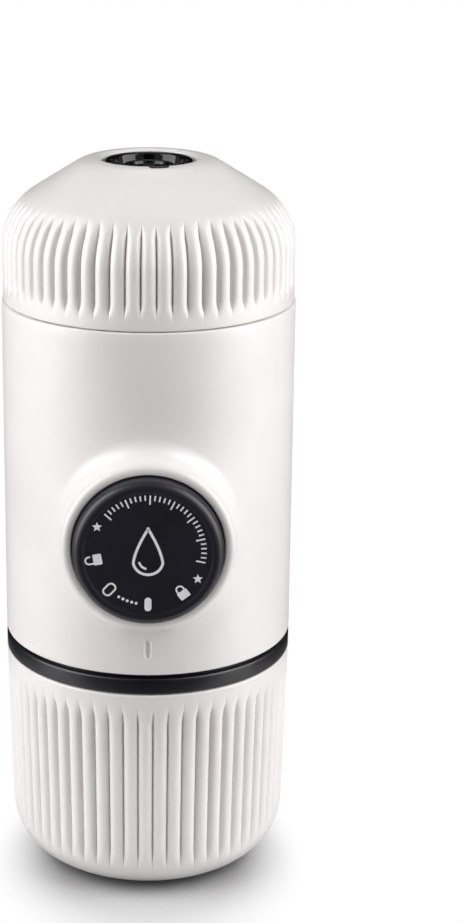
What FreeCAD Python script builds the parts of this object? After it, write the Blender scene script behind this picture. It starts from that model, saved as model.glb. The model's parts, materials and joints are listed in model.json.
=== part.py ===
import FreeCAD, Part
import math
import os

# Handheld manual espresso maker, standing on its cup with the brewing end up.
# Millimetres, +Z up, origin at the centre of the base, the knob faces -Y.

V = FreeCAD.Vector

# Heights of the stack, from the table up
cup_height = 48.5
ring_height = 3.6
shadow_height = 0.9
body_height = 73.3
parting_gap = 0.2
dome_height = 29.5

# Clearances
flat_gap = 0.1
loose_gap = 0.3
slide_fit = 0.05
seat_fit = 0.05
merge_depth = 1.0

# Roundings up to this size are cut flat, and inner corners are drawn with a few flats
largest_flat_edge = 1.0
inner_flats = 4
ring_sides = 6

# Outer form
body_radius = 31.0
body_wall = 2.0
ring_edge = 0.4
shadow_depth = 1.0
dome_inset = 0.3
dome_wall = 2.0
dome_slope = 32.15
dome_shoulder = 13.0
dome_crest_radius = 13.5
dome_crest_round = 8.0
nozzle_hole_radius = 9.8
nozzle_hole_round = 1.0
notch_width = 4.1
notch_depth = 1.2
notch_angle = 11.0

# Cup
cup_draft = 1.3
cup_corner = 12.0
cup_wall = 1.8
cup_rim_round = 0.6

# Grip ribs, as the grooves between them
rib_count = 60
groove_width = 1.9
groove_depth = 0.9
groove_fade = 2.2
cup_rib_turn = -0.9
cup_plain_top = 3.4
cup_groove_end = 18.0
dome_plain_bottom = 2.3
dome_groove_end = 50.0
groove_end_fade = 6.0
cup_groove_steps = 2
dome_groove_steps = 3

# Knob and the collar round it
knob_rise = 30.0
knob_radius = 15.65
knob_reach = 40.0
knob_edge = 2.0
knob_wall = 1.45
knob_face = 2.0
knob_length = 22.0
knob_lip = 2.2
knob_lip_height = 1.0
knob_hub_radius = 5.0
knob_gap = 0.35
collar_wall = 1.8
collar_reach = 36.5
collar_fillet = 4.0
collar_edge = 0.8
collar_depth = 18.0

# Index mark on the body
mark_width = 1.0
mark_length = 3.9
mark_rise = 4.1
mark_depth = 0.5

# Pump
piston_radius = 5.0
pump_wall = 2.45
pump_end_wall = 3.0
chamber_end = 15.0
piston_rest = 10.0
piston_length = 11.0
rod_radius = 3.2
ring_wire = 0.48
ring_groove = 1.0
ring_groove_width = 1.6
ring_spacing = 3.8
first_ring = 2.0
spring_flange_radius = 12.5
spring_flange = 2.5
spring_flange_reach = 19.0
wiper_length = 3.0
carrier_radius = 12.7
carrier_thickness = 2.0
carrier_reach = 36.0
web_thickness = 3.0

# Springs
spring_radius = 9.3
spring_wire = 1.4
spring_turns = 4
spring_steps = 12

# Valves, on one upright line behind the pump cylinder
valve_y = 12.5
tower_radius = 7.0
valve_bore = 4.0
passage_radius = 1.5
ball_radius = 2.5
ball_gap = 0.1
inlet_shoulder = 6.0
inlet_seat_drop = 14.0
outlet_seat_rise = 7.0
valve_spring_length = 5.2
valve_spring_radius = 2.6
valve_spring_wire = 0.6
valve_spring_turns = 3
plug_reach = 4.7
seal_wire = 0.75
seal_radius = 5.0
strainer_radius = 5.6
strainer_thickness = 0.6
strainer_hole = 0.7

# Vent valve in the deck
vent_x = 9.0
vent_y = -10.0
vent_stem = 1.2
vent_cap_radius = 4.0
vent_cap = 0.8
vent_bulb = 1.9

# Deck, posts and screws
neck_depth = 8.0
deck_thickness = 3.8
post_x = 17.0
post_y = 8.5
post_radius = 3.2
boss_circle = 21.0
boss_angle = 47.0
boss_radius = 2.8
boss_height = 7.0
boss_web = 2.4
screw_radius = 1.25
screw_head_radius = 2.3
screw_head = 1.8
screw_length = 8.0
screw_hex = 1.2

# Brewing head
head_ledge = 2.2
well_depth = 14.3
head_floor = 7.8
well_radius = 22.5
head_wall = 4.3
ledge_width = 1.0
ledge_height = 2.0
screen_radius = 17.5
screen_thickness = 0.6
screen_rim = 1.5
screen_rise = 0.8
screen_hole = 0.7
screen_pitch = 6.5
gasket_width = 4.5
gasket_thickness = 1.7
pocket_depth = 2.3
pocket_angle = 90.0
bayonet_turn = 60.0
bayonet_count = 3

# Filter basket
basket_radius = 18.5
basket_height = 20.2
basket_wall = 0.6
basket_flange = 3.0
basket_round = 1.5
basket_hole = 0.6
basket_pitch = 6.4
basket_seal_wire = 0.5

# Portafilter holder
barrel_wall = 3.2
holder_flange = 2.5
holder_head_space = 2.0
holder_plate = 3.0
holder_rise = 0.5
lug_reach = 2.3
lug_angle = 25.0
lug_height = 4.0
lug_rise = 1.3
portafilter_boss = 2.6
portafilter_screw_circle = 25.4
portafilter_screw_start = 30.0
portafilter_screw_count = 3

# Outlet nozzle
nozzle_gap = 0.4
nozzle_sink = 2.2
nozzle_edge = 0.6
nozzle_ring = 1.9
nozzle_trough = 3.3
nozzle_boss_radius = 5.0
nozzle_boss_drop = 1.2
nozzle_bore = 1.5
stem_radius = 5.0
stem_length = 3.4
socket_wall = 3.0
socket_rise = 2.0
nozzle_seal_wire = 0.5

# Water tank
tank_clearance = 8.0
tank_radius = 26.5
tank_draft = 1.0
tank_wall = 1.8
tank_corner = 6.0
neck_wall = 2.5
thread_gap = 0.4
neck_ring_wire = 0.55
neck_ring_drop = 2.8
neck_groove = 1.1
tank_gasket_thickness = 1.1
collar_skirt_height = 5.5
collar_skirt_gap = 0.35

# Places that follow from the sizes above
ring_bottom = cup_height + flat_gap
ring_top = cup_height + ring_height
body_bottom = ring_top + shadow_height
body_top = body_bottom + body_height
dome_bottom = body_top + parting_gap
dome_top = dome_bottom + dome_height
dome_radius = body_radius - dome_inset
knob_z = body_bottom + knob_rise
shell_inner = body_radius - body_wall
inner_radius = shell_inner - loose_gap
deck_bottom = body_bottom + neck_depth
deck_top = deck_bottom + deck_thickness
head_top = body_top - flat_gap
head_floor_z = body_top - well_depth
head_bottom = head_floor_z - head_floor
head_radius = well_radius + head_wall
knob_bore = knob_radius + knob_gap
collar_radius = knob_bore + collar_wall
pump_bore = piston_radius + slide_fit
pump_radius = pump_bore + pump_wall
ball_rise = math.sqrt(ball_radius ** 2 - passage_radius ** 2) + ball_gap
inlet_seat_z = knob_z - inlet_seat_drop
outlet_seat_z = knob_z + outlet_seat_rise
basket_bottom = head_floor_z + gasket_thickness + flat_gap
basket_top = basket_bottom + basket_height
barrel_radius = well_radius - loose_gap
barrel_bottom = basket_bottom + basket_wall + 2 * basket_seal_wire + 2 * flat_gap
holder_bottom = dome_bottom + holder_rise
holder_top = basket_top + holder_head_space + holder_plate
socket_top = holder_top + socket_rise
nozzle_face_z = dome_top - nozzle_sink
neck_top = deck_bottom - tank_gasket_thickness - flat_gap


def tangent_arc(start, corner, end):
    """Arc from start to end whose end tangents meet at corner."""
    middle = (start + end) * 0.5
    half_chord = start.distanceToPoint(end) / 2
    cosine = half_chord / start.distanceToPoint(corner)
    radius = half_chord / math.sqrt(1 - cosine ** 2)
    outward = (corner - middle).normalize()
    return Part.Arc(start, middle + outward * (radius * (1 - cosine)), end).toShape()


def corner_edges(start, corner, end, rounding, flats):
    """Edges that round a corner: one arc, or the number of flats."""
    arc = tangent_arc(start, corner, end)
    if flats is None and rounding > largest_flat_edge:
        return [arc]
    spots = arc.discretize((flats or 1) + 1)
    return [Part.LineSegment(before, after).toShape() for before, after in zip(spots, spots[1:])]


def rounded_outline(corners):
    """Closed wire in the XZ plane through corners of (radius, height, rounding, flats).

    The last two may be left out. A rounding without flats is an arc, or one flat where it is small.
    """
    points = [V(corner[0], 0, corner[1]) for corner in corners]
    count = len(points)
    edges = []
    last_end = None
    first_start = None
    for i, corner in enumerate(corners):
        here = points[i]
        start = here
        end = here
        if len(corner) > 2:
            back = (points[i - 1] - here).normalize()
            ahead = (points[(i + 1) % count] - here).normalize()
            reach = corner[2] / math.tan(back.getAngle(ahead) / 2)
            start = here + back * reach
            end = here + ahead * reach
        if last_end is None:
            first_start = start
        else:
            edges.append(Part.LineSegment(last_end, start).toShape())
        if len(corner) > 2:
            flats = corner[3] if len(corner) > 3 else None
            edges += corner_edges(start, here, end, corner[2], flats)
        last_end = end
    edges.append(Part.LineSegment(last_end, first_start).toShape())
    return Part.Wire(edges)


def lathe(corners):
    """Solid of revolution about Z from the corners of half its section."""
    return Part.Face(rounded_outline(corners)).revolve(V(0, 0, 0), V(0, 0, 1), 360)


def cylinder(radius, low, high, x=0.0, y=0.0):
    return Part.makeCylinder(radius, high - low, V(x, y, low))


def box(width, depth, height, x, y, z):
    return Part.makeBox(width, depth, height, V(x, y, z))


def tube(inner, outer, low, high, x=0.0, y=0.0):
    return cylinder(outer, low, high, x, y).cut(cylinder(inner, low, high, x, y))


def ring_sector(inner, outer, low, high, start, angle):
    """Part of a ring, from the angle start and as wide as angle, in degrees."""
    sector = Part.makeCylinder(outer, high - low, V(0, 0, low), V(0, 0, 1), angle)
    sector = sector.cut(cylinder(inner, low, high))
    sector.rotate(V(0, 0, 0), V(0, 0, 1), start)
    return sector


def to_front(shape):
    """Turn a shape made on Z so that its +Z reaches out to the front along the knob's axis."""
    turned = shape.copy()
    turned.rotate(V(0, 0, 0), V(1, 0, 0), 90)
    turned.translate(V(0, 0, knob_z))
    return turned


def moved(shape, x=0.0, y=0.0, z=0.0):
    copy = shape.copy()
    copy.translate(V(x, y, z))
    return copy


def turned(shape, angle):
    copy = shape.copy()
    copy.rotate(V(0, 0, 0), V(0, 0, 1), angle)
    return copy


def seal_ring(radius, wire, height):
    """Ring seal about Z whose section of the radius wire is drawn with a few flats."""
    corners = []
    for i in range(ring_sides):
        angle = 2 * math.pi * i / ring_sides
        corners.append((radius + wire * math.cos(angle), height + wire * math.sin(angle)))
    return lathe(corners)


def flat_face(points):
    return Part.Face(Part.makePolygon(points + points[:1]))


def skin(sections):
    """Flat-faced solid through a row of sections that have equally many points."""
    faces = [flat_face(sections[0]), flat_face(sections[-1])]
    for before, after in zip(sections, sections[1:]):
        for i in range(len(before)):
            faces.append(flat_face([before[i - 1], before[i], after[i]]))
            faces.append(flat_face([before[i - 1], after[i], after[i - 1]]))
    solid = Part.Solid(Part.Shell(faces)).removeSplitter()
    if solid.Volume < 0:
        solid.reverse()
    return solid


def valve_spring(low, high):
    spring = coil_spring(valve_spring_radius, valve_spring_wire, valve_spring_turns, low, high)
    return moved(spring, 0, valve_y)


def hole_pattern(radius, pitch, rings, low, high):
    """Upright holes in hexagonal rings about the axis."""
    holes = [cylinder(radius, low, high)]
    for ring in range(1, rings + 1):
        for side in range(6):
            corner = V(ring * pitch, 0, 0)
            step = V(-pitch / 2, pitch * math.sqrt(3) / 2, 0)
            for place in range(ring):
                spot = corner + step * place
                holes.append(turned(cylinder(radius, low, high, spot.x, spot.y), 60 * side))
    return holes


def mirrored_spots(x, y):
    return [(x, y), (-x, y), (-x, -y), (x, -y)]


def screw(length):
    """Socket-head screw on Z, its head's underside at 0 and its point down."""
    head = cylinder(screw_head_radius, 0, screw_head)
    hexagon = []
    for i in range(6):
        angle = math.pi * i / 3
        hexagon.append(V(screw_hex * math.cos(angle), screw_hex * math.sin(angle), screw_head / 2))
    socket = flat_face(hexagon).extrude(V(0, 0, screw_head))
    return head.cut(socket).fuse(cylinder(screw_radius, -length, 0))


def screw_hole(length, depth):
    """Clearance hole for a screw whose head is sunk by depth above its underside."""
    shank = cylinder(screw_radius + seat_fit, -length, 0)
    return shank.fuse(cylinder(screw_head_radius + seat_fit, 0, depth))


def coil_spring(radius, wire, turns, low, high):
    """Spring about Z that fills the height from low to high, of wire drawn with a few flats."""
    climb = high - low - wire
    steps = turns * spring_steps
    lean = math.atan2(climb / turns, 2 * math.pi * radius)
    sections = []
    for i in range(steps + 1):
        angle = 2 * math.pi * i / spring_steps
        outward = V(math.cos(angle), math.sin(angle), 0)
        around = V(-math.sin(angle), math.cos(angle), 0)
        upward = V(0, 0, math.cos(lean)) - around * math.sin(lean)
        middle = outward * radius + V(0, 0, low + wire / 2 + climb * i / steps)
        section = []
        for side in range(ring_sides):
            turn = 2 * math.pi * side / ring_sides
            section.append(middle + (outward * math.cos(turn) + upward * math.sin(turn)) * (wire / 2))
        sections.append(section)
    return skin(sections)


def groove_section(radius, height, lean, depth):
    """Section of a groove at the front, on a surface whose normal leans up by lean degrees."""
    out = math.cos(math.radians(lean))
    up = math.sin(math.radians(lean))
    above = groove_depth
    half_width = (depth + above) * groove_width / 2 / groove_depth
    bottom = V(0, -(radius - depth * out), height - depth * up)
    left = V(-half_width, -(radius + above * out), height + above * up)
    right = V(half_width, -(radius + above * out), height + above * up)
    return [bottom, left, right]


def groove_round(centre_radius, centre_height, radius, first, last, steps):
    """Groove sections round a corner, from the lean first to the lean last."""
    sections = []
    for i in range(steps + 1):
        lean = first + (last - first) * i / steps
        along = math.radians(lean)
        spot_radius = centre_radius + radius * math.cos(along)
        spot_height = centre_height + radius * math.sin(along)
        sections.append(groove_section(spot_radius, spot_height, lean, groove_depth))
    return sections


def all_grooves(sections, first_angle):
    cutter = skin(sections)
    return [turned(cutter, first_angle + 360 / rib_count * i) for i in range(rib_count)]


def cup_outer_radius(height):
    return body_radius - cup_draft * (1 - height / cup_height)


def cup_grooves():
    """Grooves from just under the rim to the rounded corner, fading at both ends."""
    draft = -math.degrees(math.atan2(cup_draft, cup_height))
    centre_radius = cup_outer_radius(0) - cup_corner * math.tan(math.radians(45 - draft / 2))
    top = cup_height - cup_plain_top
    fade_in = top - groove_fade
    sections = [
        groove_section(cup_outer_radius(top), top, draft, -slide_fit),
        groove_section(cup_outer_radius(fade_in), fade_in, draft, groove_depth),
    ]
    last = draft - cup_groove_end
    sections += groove_round(centre_radius, cup_corner, cup_corner, draft, last, cup_groove_steps)
    last -= groove_end_fade
    along = math.radians(last)
    sections.append(
        groove_section(
            centre_radius + cup_corner * math.cos(along),
            cup_corner + cup_corner * math.sin(along),
            last,
            -slide_fit,
        )
    )
    return all_grooves(sections, 180 / rib_count + cup_rib_turn)


def cup():
    """Drinking cup that slips over the water tank and grips the tank's collar."""
    base_radius = cup_outer_radius(0)
    shape = lathe([
        (0, 0),
        (base_radius, 0, cup_corner),
        (body_radius, cup_height, cup_rim_round),
        (body_radius - cup_wall, cup_height, cup_rim_round),
        (base_radius - cup_wall, cup_wall, cup_corner - cup_wall, inner_flats),
        (0, cup_wall),
    ])
    return shape.cut(cup_grooves())


def tank_collar():
    """Black ring on the tank's neck, with the skirt that the cup slips over."""
    inner = tank_radius + seat_fit
    skirt_low = cup_height - collar_skirt_height
    skirt_radius = cup_outer_radius(skirt_low) - cup_wall - collar_skirt_gap
    return lathe([
        (inner, skirt_low),
        (skirt_radius, skirt_low, ring_edge),
        (skirt_radius, ring_bottom),
        (body_radius, ring_bottom, ring_edge),
        (body_radius, ring_top, ring_edge),
        (inner, ring_top),
    ])


def water_tank():
    """Clear tank with a wide neck that screws up into the pump block."""
    neck_ring_z = neck_top - neck_ring_drop
    groove_half = neck_ring_wire + flat_gap
    base_radius = tank_radius - tank_draft
    return lathe([
        (0, tank_clearance),
        (base_radius, tank_clearance, tank_corner, inner_flats + 1),
        (tank_radius, ring_bottom),
        (tank_radius, neck_ring_z - groove_half),
        (tank_radius - neck_groove, neck_ring_z - groove_half),
        (tank_radius - neck_groove, neck_ring_z + groove_half),
        (tank_radius, neck_ring_z + groove_half),
        (tank_radius, neck_top, ring_edge),
        (tank_radius - neck_wall, neck_top, ring_edge),
        (tank_radius - neck_wall, ring_bottom),
        (base_radius - tank_wall, tank_clearance + tank_wall, tank_corner - tank_wall, inner_flats),
        (0, tank_clearance + tank_wall),
    ])


def neck_o_ring():
    radius = tank_radius - neck_groove + flat_gap + neck_ring_wire
    return seal_ring(radius, neck_ring_wire, neck_top - neck_ring_drop)


def tank_gasket():
    """Flat gasket between the neck's top and the deck."""
    low = neck_top + flat_gap / 2
    return tube(tank_radius - neck_wall, tank_radius, low, low + tank_gasket_thickness)


def body_screw_spots():
    angle = math.radians(boss_angle)
    return mirrored_spots(boss_circle * math.cos(angle), boss_circle * math.sin(angle))


def collar_foot_edges(shape):
    """Edges where the knob's collar meets the round body."""
    found = []
    for edge in shape.Edges:
        spot = edge.valueAt((edge.FirstParameter + edge.LastParameter) / 2)
        on_body = abs(math.hypot(spot.x, spot.y) - body_radius) < flat_gap
        on_collar = abs(math.hypot(spot.x, spot.z - knob_z) - collar_radius) < flat_gap
        if on_body and on_collar:
            found.append(edge)
    return found


def front_rim_edges(shape, reach):
    return [edge for edge in shape.Edges if abs(edge.BoundBox.YMax + reach) < flat_gap]


def body_shell():
    """White housing: a tube with the knob's collar, screw bosses and a ledge for the brewing head."""
    outer = cylinder(body_radius, body_bottom, body_top)
    outer = outer.fuse(to_front(cylinder(collar_radius, collar_depth, collar_reach)))
    outer = outer.makeFillet(collar_fillet, collar_foot_edges(outer))
    outer = outer.makeChamfer(collar_edge, front_rim_edges(outer, collar_reach))
    shell = outer.cut(cylinder(shell_inner, body_bottom, body_top))
    inside = cylinder(shell_inner + body_wall / 2, body_bottom, body_top)
    additions = [to_front(cylinder(collar_radius, collar_depth, body_radius)).common(inside)]
    ledge_top = head_top - head_ledge
    ledge_radius = shell_inner - ledge_width
    additions.append(tube(ledge_radius, shell_inner + body_wall / 2, ledge_top - ledge_height, ledge_top))
    for x, y in body_screw_spots():
        boss_top = deck_top + boss_height
        additions.append(cylinder(boss_radius, deck_top, boss_top, x, y))
        web_length = shell_inner + body_wall / 2 - boss_circle
        web = box(web_length, boss_web, boss_height, boss_circle, -boss_web / 2, deck_top)
        additions.append(turned(web, math.degrees(math.atan2(y, x))))
    shell = shell.fuse(additions)
    cuts = [to_front(cylinder(knob_bore, collar_depth, collar_reach))]
    for x, y in body_screw_spots():
        cuts.append(cylinder(screw_radius + seat_fit, deck_top, deck_top + screw_length, x, y))
    return shell.cut(cuts + [index_mark()])


def index_mark():
    """Short upright groove under the knob, with round ends."""
    low = body_bottom + mark_rise + mark_width / 2
    high = low + mark_length - mark_width
    floor = body_radius - mark_depth
    bar = box(mark_width, 2 * mark_depth, high - low, -mark_width / 2, -floor - 2 * mark_depth, low)
    ends = []
    for height in (low, high):
        end = Part.makeCylinder(mark_width / 2, 2 * mark_depth, V(0, -floor, height), V(0, -1, 0))
        ends.append(end)
    return bar.fuse(ends)


def neck_socket():
    """Black ring under the deck that the tank's neck screws into, with a flange below the shell."""
    neck_bore = tank_radius + thread_gap
    low = ring_top + flat_gap
    high = deck_bottom - flat_gap
    return lathe([
        (neck_bore, low),
        (body_radius - shadow_depth, low),
        (body_radius - shadow_depth, body_bottom),
        (inner_radius, body_bottom),
        (inner_radius, high),
        (neck_bore, high),
    ])


def pump_block():
    """Black frame of the pump: deck, pump cylinder, valve tower and posts."""
    block = cylinder(inner_radius, deck_bottom, deck_top)
    web_front = spring_flange_reach - spring_flange
    web_height = knob_z - pump_radius / 2 - deck_top
    pieces = [
        cylinder(tower_radius, deck_bottom, head_bottom, 0, valve_y),
        to_front(cylinder(pump_radius, -chamber_end - pump_end_wall, spring_flange_reach)),
        to_front(cylinder(spring_flange_radius, web_front, spring_flange_reach)),
        box(web_thickness, web_front + valve_y, web_height, -web_thickness / 2, -web_front, deck_top),
    ]
    for x, y in mirrored_spots(post_x, post_y):
        pieces.append(cylinder(post_radius, deck_bottom, head_bottom, x, y))
    block = block.fuse(pieces).removeSplitter()
    return block.cut(pump_block_cuts())


def pump_block_cuts():
    """Bores of the pump block."""
    strainer_top = deck_bottom + strainer_thickness
    cuts = [
        to_front(cylinder(pump_bore, -chamber_end, spring_flange_reach)),
        cylinder(strainer_radius + seat_fit, deck_bottom, strainer_top, 0, valve_y),
        cylinder(valve_bore, deck_bottom, knob_z - inlet_shoulder, 0, valve_y),
        cylinder(passage_radius, knob_z - inlet_shoulder, outlet_seat_z, 0, valve_y),
        cylinder(valve_bore, outlet_seat_z, head_bottom, 0, valve_y),
        cylinder(seal_radius + seal_wire + seat_fit, head_bottom - 2 * seal_wire, head_bottom, 0, valve_y),
        cylinder(vent_stem + seat_fit, deck_bottom, deck_top, vent_x, vent_y),
        to_front(cylinder(collar_radius + flat_gap, collar_depth, body_radius)),
    ]
    for x, y in mirrored_spots(post_x, post_y):
        cuts.append(cylinder(screw_radius + seat_fit, head_bottom - screw_length, head_bottom, x, y))
    for x, y in body_screw_spots():
        hole = screw_hole(deck_thickness, screw_head)
        hole.rotate(V(0, 0, 0), V(1, 0, 0), 180)
        cuts.append(moved(hole, x, y, deck_bottom + screw_head))
    return cuts


def body_screws():
    """Four screws up through the deck into the shell's bosses."""
    screws = []
    for x, y in body_screw_spots():
        one = screw(screw_length)
        one.rotate(V(0, 0, 0), V(1, 0, 0), 180)
        screws.append(moved(one, x, y, deck_bottom + screw_head))
    return Part.makeCompound(screws)


def head_screw_z():
    return head_floor_z - screw_head - flat_gap


def head_screws():
    """Four screws down through the brewing head into the posts."""
    length = head_screw_z() - head_bottom + screw_length - flat_gap
    spots = mirrored_spots(post_x, post_y)
    return Part.makeCompound([moved(screw(length), x, y, head_screw_z()) for x, y in spots])


def inlet_strainer():
    high = deck_bottom + strainer_thickness
    disc = cylinder(strainer_radius, deck_bottom, high)
    holes = hole_pattern(strainer_hole, 3 * strainer_hole, 1, deck_bottom, high)
    return moved(disc.cut(holes), 0, valve_y)


def inlet_valve_seat():
    """Pressed sleeve whose bore edge the inlet ball closes."""
    low = deck_bottom + strainer_thickness
    return moved(tube(passage_radius, valve_bore - seat_fit, low, inlet_seat_z), 0, valve_y)


def inlet_ball():
    return Part.makeSphere(ball_radius, V(0, valve_y, inlet_seat_z + ball_rise))


def outlet_ball():
    return Part.makeSphere(ball_radius, V(0, valve_y, outlet_seat_z + ball_rise))


def inlet_spring():
    low = inlet_seat_z + ball_rise + ball_radius + flat_gap
    high = knob_z - inlet_shoulder - flat_gap
    return valve_spring(low, high)


def outlet_spring_top():
    return outlet_seat_z + ball_rise + ball_radius + flat_gap + valve_spring_length


def outlet_spring():
    high = outlet_spring_top()
    low = high - valve_spring_length
    return valve_spring(low, high)


def outlet_valve_plug():
    """Hollow plug that backs the outlet spring and leads the water into the brewing head."""
    low = outlet_spring_top() + flat_gap
    high = head_bottom + plug_reach
    return moved(tube(passage_radius, valve_bore - seat_fit, low, high), 0, valve_y)


def head_seal():
    return moved(seal_ring(seal_radius, seal_wire - flat_gap, head_bottom - seal_wire), 0, valve_y)


def vent_valve():
    """Silicone umbrella valve that lets air into the tank."""
    cap_low = deck_bottom - vent_cap
    bulb_top = deck_top + 2 * vent_bulb
    shape = lathe([
        (0, cap_low),
        (vent_cap_radius, cap_low + vent_cap / 2),
        (vent_cap_radius, deck_bottom),
        (vent_stem, deck_bottom),
        (vent_stem, deck_top),
        (vent_bulb, deck_top),
        (vent_stem, bulb_top),
        (0, bulb_top),
    ])
    return moved(shape, vent_x, vent_y)


def piston_rod():
    """Piston head with two ring grooves, and the rod to the carrier."""
    back = -piston_rest
    front = back + piston_length
    corners = [(0, back), (piston_radius, back, ring_edge)]
    for i in range(2):
        low = back + first_ring + i * ring_spacing
        corners += [
            (piston_radius, low),
            (piston_radius - ring_groove, low),
            (piston_radius - ring_groove, low + ring_groove_width),
            (piston_radius, low + ring_groove_width),
        ]
    corners += [
        (piston_radius, front),
        (rod_radius, front),
        (rod_radius, carrier_reach),
        (0, carrier_reach),
    ]
    return to_front(lathe(corners))


def piston_o_rings():
    rings = []
    for i in range(2):
        middle = first_ring - piston_rest + i * ring_spacing + ring_groove_width / 2
        rings.append(to_front(seal_ring(piston_radius - ring_wire, ring_wire, middle)))
    return Part.makeCompound(rings)


def rod_wiper():
    """Lip ring that guides the rod where it leaves the cylinder."""
    low = spring_flange_reach - wiper_length
    inner = rod_radius + slide_fit
    outer = piston_radius
    return to_front(lathe([
        (inner + flat_gap, low),
        (outer, low),
        (outer, spring_flange_reach),
        (inner, spring_flange_reach),
        (inner, spring_flange_reach - wiper_length / 2),
    ]))


def piston_carrier():
    """Disc on the rod's end that the knob turns on."""
    low = carrier_reach - carrier_thickness
    return to_front(tube(rod_radius + seat_fit, carrier_radius, low, carrier_reach))


def piston_spring():
    """Return spring between the pump cylinder's flange and the carrier."""
    low = spring_flange_reach + flat_gap
    high = carrier_reach - carrier_thickness - flat_gap
    return to_front(coil_spring(spring_radius, spring_wire, spring_turns, low, high))


def piston_knob():
    """Hollow knob with a lip that snaps behind the carrier."""
    inner = knob_radius - knob_wall
    face_inside = knob_reach - knob_face
    lip_top = carrier_reach - carrier_thickness - loose_gap
    lip_low = lip_top - knob_lip_height
    hub_end = carrier_reach + flat_gap
    return to_front(lathe([
        (0, hub_end),
        (knob_hub_radius, hub_end),
        (knob_hub_radius, face_inside),
        (inner, face_inside),
        (inner, lip_top),
        (inner - knob_lip, lip_top),
        (inner - knob_lip, lip_low),
        (inner, lip_low),
        (inner, knob_reach - knob_length),
        (knob_radius, knob_reach - knob_length, ring_edge),
        (knob_radius, knob_reach, knob_edge),
        (0, knob_reach),
    ]))


def bayonet_start(index):
    return 360 / bayonet_count * index


def brew_head():
    """Black brewing head with the well for the basket and three bayonet pockets."""
    ledge_top = head_top - head_ledge
    rim_inner = screen_radius - screen_rim
    head = lathe([
        (0, head_bottom),
        (head_radius, head_bottom),
        (head_radius, ledge_top),
        (inner_radius, ledge_top),
        (inner_radius, head_top),
        (well_radius, head_top),
        (well_radius, head_floor_z),
        (screen_radius, head_floor_z),
        (screen_radius, head_floor_z + screen_rise),
        (rim_inner, head_floor_z + screen_rise),
        (rim_inner, head_floor_z),
        (0, head_floor_z),
    ])
    cuts = [
        cylinder(valve_bore, head_bottom, head_bottom + plug_reach + flat_gap, 0, valve_y),
        cylinder(passage_radius, head_bottom, head_floor_z, 0, valve_y),
    ]
    spare = (pocket_angle - lug_angle - bayonet_turn) / 2
    pocket_low = barrel_bottom + lug_rise - loose_gap
    inner = well_radius - merge_depth
    outer = well_radius + pocket_depth
    for i in range(bayonet_count):
        cuts.append(ring_sector(inner, outer, pocket_low, head_top, bayonet_start(i) - spare, pocket_angle))
    for x, y in mirrored_spots(post_x, post_y):
        cuts.append(moved(screw_hole(head_floor, head_floor_z - head_screw_z()), x, y, head_screw_z()))
    return head.cut(cuts)


def shower_screen():
    """Perforated disc that spreads the water over the coffee."""
    low = head_floor_z + screen_rise
    disc = cylinder(screen_radius, low, low + screen_thickness)
    return disc.cut(hole_pattern(screen_hole, screen_pitch, 2, low, low + screen_thickness))


def brew_gasket():
    """Flat silicone gasket that the basket is pressed on."""
    outer = well_radius - flat_gap
    return tube(outer - gasket_width, outer, head_floor_z, head_floor_z + gasket_thickness)


def filter_basket():
    """Steel basket, upside down as the maker stands, with a perforated end."""
    inner = basket_radius - basket_wall
    flange = basket_radius + basket_flange
    shape = lathe([
        (inner, basket_bottom),
        (flange, basket_bottom),
        (flange, basket_bottom + basket_wall),
        (basket_radius, basket_bottom + basket_wall),
        (basket_radius, basket_top, basket_round, 2),
        (0, basket_top),
        (0, basket_top - basket_wall),
        (inner, basket_top - basket_wall, basket_round - basket_wall),
    ])
    return shape.cut(hole_pattern(basket_hole, basket_pitch, 2, basket_top - basket_wall, basket_top))


def basket_seal():
    """Ring between the basket's flange and the holder's barrel."""
    radius = barrel_radius - barrel_wall / 2
    return seal_ring(radius, basket_seal_wire, basket_bottom + basket_wall + flat_gap + basket_seal_wire)


def portafilter_screw_spots():
    spots = []
    for i in range(portafilter_screw_count):
        angle = math.radians(portafilter_screw_start + 360 / portafilter_screw_count * i)
        x = portafilter_screw_circle * math.cos(angle)
        spots.append((x, portafilter_screw_circle * math.sin(angle)))
    return spots


def portafilter_holder():
    """Black inner part of the portafilter: barrel with lugs, flange and nozzle socket."""
    barrel_inner = barrel_radius - barrel_wall
    flange_radius = dome_radius - dome_wall - flat_gap
    plate_low = basket_top + holder_head_space
    bore = stem_radius + slide_fit
    holder = lathe([
        (barrel_inner, barrel_bottom),
        (barrel_radius, barrel_bottom),
        (barrel_radius, holder_bottom),
        (flange_radius, holder_bottom),
        (flange_radius, holder_bottom + holder_flange),
        (barrel_radius, holder_bottom + holder_flange),
        (barrel_radius, holder_top, ring_edge),
        (stem_radius + socket_wall, holder_top),
        (stem_radius + socket_wall, socket_top),
        (bore, socket_top),
        (bore, socket_top - stem_length - flat_gap),
        (nozzle_bore, socket_top - stem_length - flat_gap),
        (nozzle_bore, plate_low),
        (barrel_inner, plate_low),
    ])
    lugs = []
    lug_low = barrel_bottom + lug_rise
    inner = barrel_radius - merge_depth
    outer = barrel_radius + lug_reach
    for i in range(bayonet_count):
        lugs.append(ring_sector(inner, outer, lug_low, lug_low + lug_height, bayonet_start(i), lug_angle))
    cuts = []
    for x, y in portafilter_screw_spots():
        hole = screw_hole(holder_flange, screw_head)
        hole.rotate(V(0, 0, 0), V(1, 0, 0), 180)
        cuts.append(moved(hole, x, y, holder_bottom + screw_head))
    return holder.fuse(lugs).cut(cuts)


def portafilter_screws():
    """Three screws up through the flange into the dome's bosses."""
    screws = []
    for x, y in portafilter_screw_spots():
        one = screw(screw_length)
        one.rotate(V(0, 0, 0), V(1, 0, 0), 180)
        screws.append(moved(one, x, y, holder_bottom + screw_head))
    return Part.makeCompound(screws)


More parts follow.
